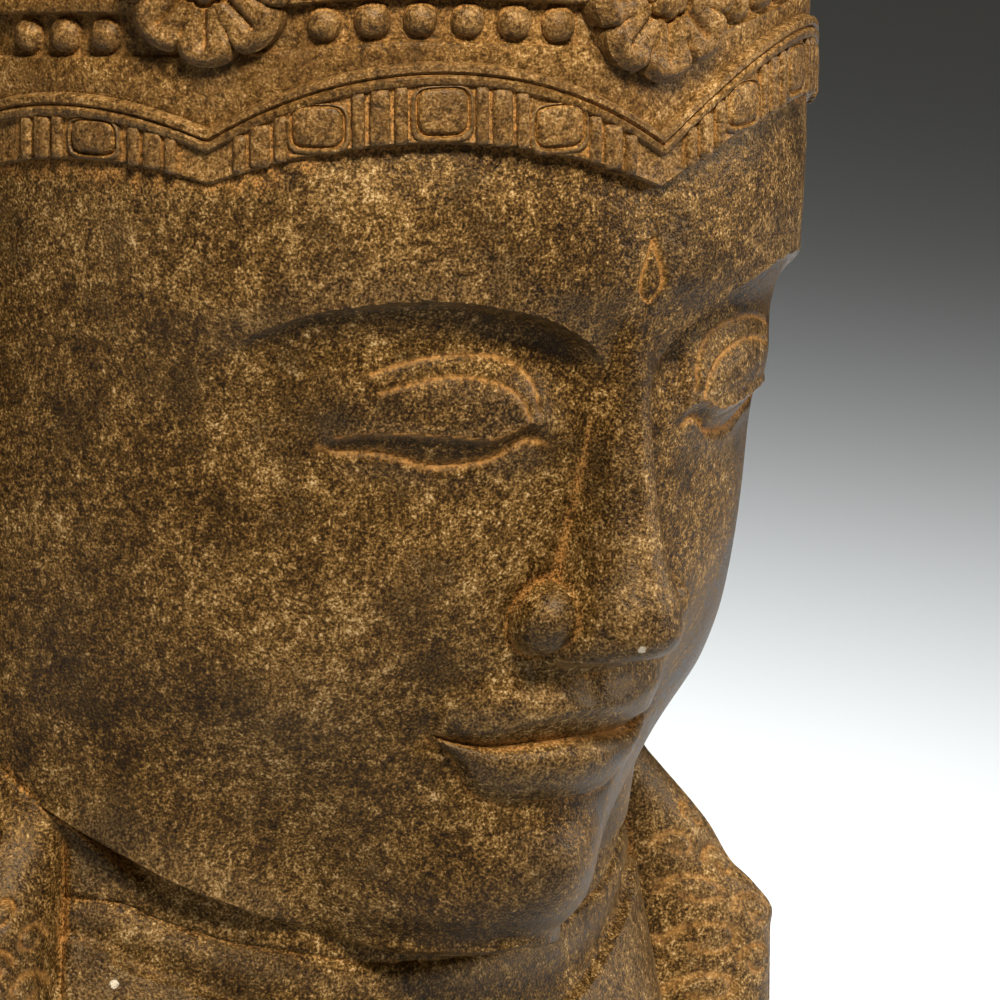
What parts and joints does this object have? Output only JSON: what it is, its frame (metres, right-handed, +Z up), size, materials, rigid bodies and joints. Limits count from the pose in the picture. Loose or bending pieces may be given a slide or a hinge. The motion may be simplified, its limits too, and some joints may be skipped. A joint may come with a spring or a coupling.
{
  "type": "three-faced shiva head",
  "caption": "Stone bust with three calm faces under one scalloped diadem and a tiered leaf crown, on a short neck and collar cut flat below.",
  "frame": {"origin": "middle of the flat underside, on the axis that the three faces turn about", "axes": "+Z up, the front face looks along -Y, the other two faces look 120 degrees to either side"},
  "size_m": [0.4986, 0.4872, 0.694],
  "materials": {
    "carved_stone": "hand-carved dark volcanic stone, low sheen on the high places, densely speckled with ochre, ochre earth left in the cuts"
  },
  "bodies": {
    "root": {"three_faced_head": "carved_stone"}
  },
  "joints": []
}
